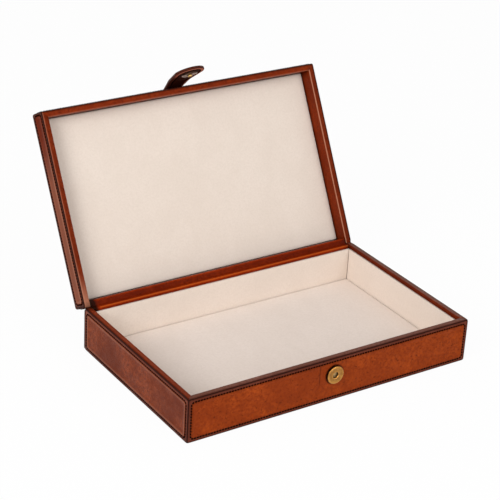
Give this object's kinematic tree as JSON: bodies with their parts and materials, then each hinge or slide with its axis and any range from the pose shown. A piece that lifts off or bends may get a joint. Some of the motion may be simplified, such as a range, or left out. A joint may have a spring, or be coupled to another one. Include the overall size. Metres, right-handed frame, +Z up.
{
  "type": "leather jewellery case",
  "caption": "Shallow rectangular leather case with a hinged lid, cream suede lining, stitched tan panels and a folding tab that closes on a magnetic snap.",
  "frame": {"origin": "middle of the tray's underside, on the table", "axes": "+X to the right along the case's width, +Y to the hinge at the back, +Z up"},
  "size_m": [0.296, 0.2879, 0.2262],
  "materials": {
    "panel_leather": "satin aniline-dyed tan leather with burnished edges",
    "rim_leather": "thin dark red-brown binding leather",
    "hinge_leather": "thin red-brown hinge leather",
    "tab_leather": "satin tan leather, burnished edges",
    "bottom_leather": "matt dark brown leather",
    "suede": "cream suede with a short nap",
    "lining_card": "grey lining card",
    "wall_board": "dark stiff board",
    "snap_brass": "antique brass, brushed",
    "stud_brass": "antique brass",
    "stud_plate": "plated steel, satin",
    "magnet": "dark sintered magnet",
    "rivet_steel": "plain steel"
  },
  "bodies": {
    "base": {"base_back_board": "wall_board", "base_back_leather": "panel_leather", "base_bottom_leather": "bottom_leather", "base_floor_board": "wall_board", "base_front_board": "wall_board", "base_front_leather": "panel_leather", "base_front_rim": "rim_leather", "base_left_board": "wall_board", "base_left_leather": "panel_leather", "base_left_rim": "rim_leather", "base_right_board": "wall_board", "base_right_leather": "panel_leather", "base_right_rim": "rim_leather", "hinge_base_leaf": "hinge_leather", "hinge_fold": "hinge_leather", "lining_back_card": "lining_card", "lining_back_suede": "suede", "lining_floor_card": "lining_card", "lining_floor_suede": "suede", "lining_front_card": "lining_card", "lining_front_suede": "suede", "lining_left_card": "lining_card", "lining_left_suede": "suede", "lining_right_card": "lining_card", "lining_right_suede": "suede", "snap_socket_cap": "snap_brass", "snap_socket_magnet": "magnet", "snap_socket_rivet": "rivet_steel", "snap_socket_washer": "rivet_steel"},
    "lid": {"hinge_lid_leaf": "hinge_leather", "lid_back_board": "wall_board", "lid_back_leather": "panel_leather", "lid_front_board": "wall_board", "lid_front_leather": "panel_leather", "lid_front_rim": "rim_leather", "lid_left_board": "wall_board", "lid_left_leather": "panel_leather", "lid_left_rim": "rim_leather", "lid_lining_card": "lining_card", "lid_lining_suede": "suede", "lid_right_board": "wall_board", "lid_right_leather": "panel_leather", "lid_right_rim": "rim_leather", "lid_top_board": "wall_board", "lid_top_leather": "panel_leather", "tab_lining_anchor": "tab_leather", "tab_outer_anchor": "tab_leather"},
    "tab": {"tab_lining": "tab_leather", "tab_outer_leather": "tab_leather", "tab_lining_fold": "tab_leather", "tab_outer_fold": "tab_leather", "snap_stud_plate": "stud_plate", "snap_stud_post": "stud_brass", "snap_stud_washer": "rivet_steel"}
  },
  "joints": [
    {"name": "lid_hinge", "type": "hinge", "parent": "base", "child": "lid", "pos_m": [0, 0.0891, 0.0423], "axis": [1, 0, 0], "range_deg": [0, 118.3], "deforming": ["hinge_fold"]},
    {"name": "tab_fold", "type": "hinge", "parent": "lid", "child": "tab", "pos_m": [0, 0.18841, 0.19235], "axis": [1, 0, 0], "range_deg": [-80.7, 9.3], "deforming": ["tab_lining_fold", "tab_outer_fold"]}
  ]
}
